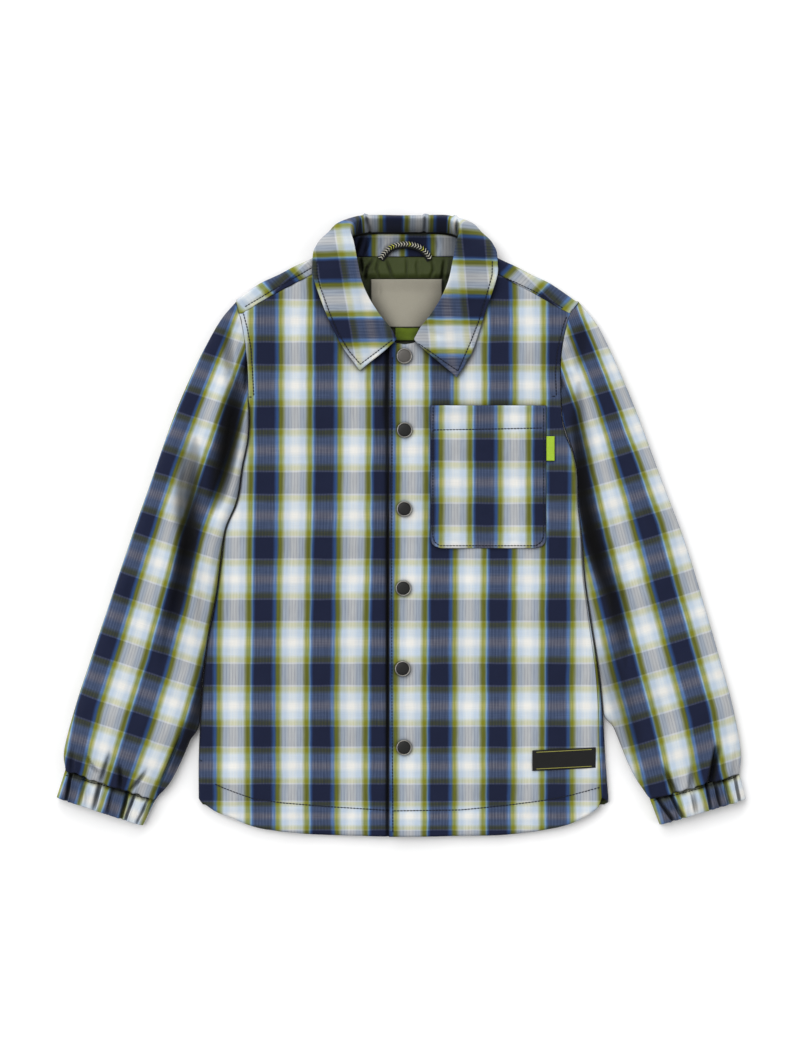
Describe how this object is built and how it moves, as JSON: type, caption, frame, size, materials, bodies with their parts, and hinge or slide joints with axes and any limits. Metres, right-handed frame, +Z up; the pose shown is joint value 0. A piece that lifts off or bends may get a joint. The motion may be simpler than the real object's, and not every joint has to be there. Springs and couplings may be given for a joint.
{
  "type": "plaid shacket laid flat",
  "caption": "Child's padded plaid overshirt jacket with collar, chest pocket, snap front and gathered cuffs, laid flat on its back.",
  "frame": {"origin": "on the surface the garment lies on, under the centre of its bounding box", "axes": "+X to the right of the laid garment seen from above (the wearer's left), +Y from the hem to the collar, +Z up from the surface"},
  "size_m": [0.6876, 0.6188, 0.0275],
  "materials": {
    "plaid": "brushed yarn-dyed navy, pale blue and olive check",
    "lining": "smooth green taffeta with a soft sheen",
    "label": "woven greige label, bare",
    "lime": "woven lime green tape",
    "braid": "black, white and lime braided cord",
    "black_label": "woven black label with thin gold lines",
    "snap": "dark gunmetal with a brighter rim"
  },
  "bodies": {
    "root": {"back": "plaid", "yoke": "plaid", "front_right": "plaid", "front_left": "plaid", "collar": "plaid", "neck_facing": "plaid", "back_lining": "lining", "neck_label": "label", "size_label": "lime", "hanger_loop": "braid", "sleeve_left": "plaid", "sleeve_right": "plaid", "cuff_left": "plaid", "cuff_right": "plaid", "pocket": "plaid", "pocket_tab": "lime", "hem_label": "black_label", "snap_1": "snap", "snap_2": "snap", "snap_3": "snap", "snap_4": "snap", "snap_5": "snap", "snap_6": "snap"}
  },
  "joints": []
}
